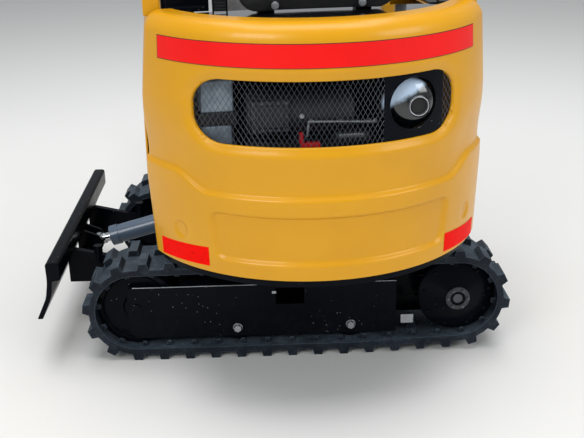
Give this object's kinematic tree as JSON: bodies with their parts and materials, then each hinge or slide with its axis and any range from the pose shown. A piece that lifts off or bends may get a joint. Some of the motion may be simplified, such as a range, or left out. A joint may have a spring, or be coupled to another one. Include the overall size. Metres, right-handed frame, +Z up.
{
  "type": "mini excavator",
  "caption": "Compact tracked excavator with a rounded rear cover, four-post canopy, dozer blade, offset boom, arm and bucket.",
  "frame": {"origin": "on the ground under the slew axis", "axes": "+Y forward of the house, +X to the house's right, +Z up; the undercarriage stands turned 6.3 degrees about Z"},
  "size_m": [1.4111, 2.397, 2.184],
  "materials": {
    "black_gloss": "deep gloss black enamel",
    "black_paint": "gloss black enamel",
    "bucket_steel": "satin black, worn at the edge",
    "cast_weight": "rough, painted black",
    "chrome_rod": "polished",
    "engine_metal": "dull, dusty",
    "grey_plastic": "grained",
    "grille_steel": "satin black",
    "lamp_black": "gloss",
    "radiator_metal": "dull",
    "seat_vinyl": "grained vinyl",
    "track_rubber": "matt, worn",
    "yellow_paint": "semi-gloss warm yellow enamel"
  },
  "bodies": {
    "undercarriage": {"car_body": "black_paint", "track_left": "track_rubber", "track_right": "track_rubber", "track_frame_left": "black_paint", "track_frame_right": "black_paint", "idlers": "black_paint", "sprockets": "black_paint", "track_rollers": "black_paint", "travel_motors": "black_paint"},
    "blade": {"dozer_blade": "black_paint", "blade_arms": "black_paint"},
    "blade_barrel": {"blade_barrel": "black_gloss"},
    "blade_rod": {"blade_rod": "chrome_rod"},
    "house": {"turntable": "black_paint", "engine": "engine_metal", "radiator": "radiator_metal", "muffler": "black_gloss", "counterweight": "cast_weight", "seat_platform": "black_paint", "seat_base": "black_paint", "seat_cushion": "seat_vinyl", "seat_back": "seat_vinyl", "side_cover_left": "yellow_paint", "side_cover_right": "yellow_paint", "console_left": "grey_plastic", "console_right": "grey_plastic", "travel_levers": "black_paint", "floor": "black_paint", "canopy_posts": "yellow_paint", "canopy_rails": "black_paint", "canopy_roof": "yellow_paint"},
    "bonnet": {"engine_bonnet": "yellow_paint", "mesh_grille": "grille_steel"},
    "swing_post": {"swing_post": "yellow_paint"},
    "swing_barrel": {"swing_barrel": "black_gloss"},
    "swing_rod": {"swing_rod": "chrome_rod"},
    "boom": {"boom": "yellow_paint", "lamp": "lamp_black"},
    "boom_barrel": {"boom_barrel": "black_gloss"},
    "boom_rod": {"boom_rod": "chrome_rod"},
    "arm": {"arm": "yellow_paint"},
    "arm_barrel": {"arm_barrel": "black_gloss"},
    "arm_rod": {"arm_rod": "chrome_rod"},
    "bucket": {"bucket": "bucket_steel"},
    "bucket_link": {"bucket_link": "bucket_steel"},
    "tipping_link": {"tipping_link": "bucket_steel"},
    "bucket_barrel": {"bucket_barrel": "black_gloss"},
    "bucket_rod": {"bucket_rod": "chrome_rod"}
  },
  "joints": [
    {"name": "slew", "type": "hinge", "parent": "undercarriage", "child": "house", "pos_m": [0, 0, 0.352], "axis": [0, 0, 1], "continuous": true},
    {"name": "blade_lift", "type": "hinge", "parent": "undercarriage", "child": "blade", "pos_m": [-0.24849, 0.02743, 0.13], "axis": [-0.1097, -0.994, 0], "range_deg": [0, 39]},
    {"name": "blade_barrel_pivot", "type": "hinge", "parent": "undercarriage", "child": "blade_barrel", "pos_m": [-0.26042, 0.02875, 0.303], "axis": [-0.1097, -0.994, 0], "range_deg": [-0.5, 32.67]},
    {"name": "blade_rod_slide", "type": "slide", "parent": "blade_barrel", "child": "blade_rod", "axis": [-0.9594, 0.1059, -0.2615], "range_m": [-0.0005, 0.1075]},
    {"name": "bonnet_hinge", "type": "hinge", "parent": "house", "child": "bonnet", "pos_m": [0, -0.5, 0.99], "axis": [-1, 0, 0], "range_deg": [0, 60]},
    {"name": "boom_swing", "type": "hinge", "parent": "house", "child": "swing_post", "pos_m": [0, 0.395, 0.38], "axis": [0, 0, 1], "range_deg": [-50, 50]},
    {"name": "swing_barrel_pivot", "type": "hinge", "parent": "house", "child": "swing_barrel", "pos_m": [-0.215, 0.05, 0.455], "axis": [0, 0, 1], "range_deg": [-3, 3]},
    {"name": "swing_rod_slide", "type": "slide", "parent": "swing_barrel", "child": "swing_rod", "axis": [0.3827, 0.9239, 0], "range_m": [-0.0512, 0.0512]},
    {"name": "boom_lift", "type": "hinge", "parent": "swing_post", "child": "boom", "pos_m": [0, 0.47, 0.43], "axis": [-1, 0, 0], "range_deg": [-40, 75]},
    {"name": "boom_barrel_pivot", "type": "hinge", "parent": "swing_post", "child": "boom_barrel", "pos_m": [0, 0.533, 0.339], "axis": [-1, 0, 0], "range_deg": [-41.27, 76.95]},
    {"name": "boom_rod_slide", "type": "slide", "parent": "boom_barrel", "child": "boom_rod", "axis": [0, 0.6742, 0.7386], "range_m": [-0.11784, 0.06308]},
    {"name": "arm_swing", "type": "hinge", "parent": "boom", "child": "arm", "pos_m": [0, 1.479, 1.08], "axis": [1, 0, 0], "range_deg": [-12, 100]},
    {"name": "arm_barrel_pivot", "type": "hinge", "parent": "boom", "child": "arm_barrel", "pos_m": [0, 0.95, 1.105], "axis": [1, 0, 0], "range_deg": [-1.23, 6.58]},
    {"name": "arm_rod_slide", "type": "slide", "parent": "arm_barrel", "child": "arm_rod", "axis": [0, 0.9962, 0.0877], "range_m": [-0.19139, 0.02341]},
    {"name": "bucket_curl", "type": "hinge", "parent": "arm", "child": "bucket", "pos_m": [0, 1.38, 0.29], "axis": [-1, 0, 0], "range_deg": [-65, 95]},
    {"name": "guide_pivot", "type": "hinge", "parent": "arm", "child": "bucket_link", "pos_m": [0, 1.416, 0.416], "axis": [-1, 0, 0], "range_deg": [-37.4, 54.43]},
    {"name": "tipping_pivot", "type": "hinge", "parent": "bucket", "child": "tipping_link", "pos_m": [0, 1.46, 0.253], "axis": [-1, 0, 0], "range_deg": [-87.76, 60.2]},
    {"name": "bucket_barrel_pivot", "type": "hinge", "parent": "arm", "child": "bucket_barrel", "pos_m": [0, 1.572, 0.967], "axis": [-1, 0, 0], "range_deg": [-3.72, 5.21]},
    {"name": "bucket_rod_slide", "type": "slide", "parent": "bucket_barrel", "child": "bucket_rod", "axis": [0, -0.0253, -0.9997], "range_m": [-0.06608, 0.09635]}
  ],
  "couplings": [
    {"joint": "blade_barrel_pivot", "follows": "blade_lift", "ratio": 0.8248},
    {"joint": "blade_rod_slide", "follows": "blade_lift", "m_per_rad": 0.1572},
    {"joint": "swing_barrel_pivot", "follows": "boom_swing", "ratio": -0.05},
    {"joint": "swing_rod_slide", "follows": "boom_swing", "m_per_rad": -0.0581},
    {"joint": "boom_barrel_pivot", "follows": "boom_lift", "ratio": 1.0193},
    {"joint": "boom_rod_slide", "follows": "boom_lift", "m_per_rad": -0.08964},
    {"joint": "arm_barrel_pivot", "follows": "arm_swing", "ratio": 0.0608},
    {"joint": "arm_rod_slide", "follows": "arm_swing", "m_per_rad": -0.10937},
    {"joint": "guide_pivot", "follows": "bucket_curl", "ratio": 0.5677},
    {"joint": "tipping_pivot", "follows": "bucket_curl", "ratio": -0.9185},
    {"joint": "bucket_barrel_pivot", "follows": "bucket_curl", "ratio": 0.0496},
    {"joint": "bucket_rod_slide", "follows": "bucket_curl", "m_per_rad": 0.05781}
  ]
}
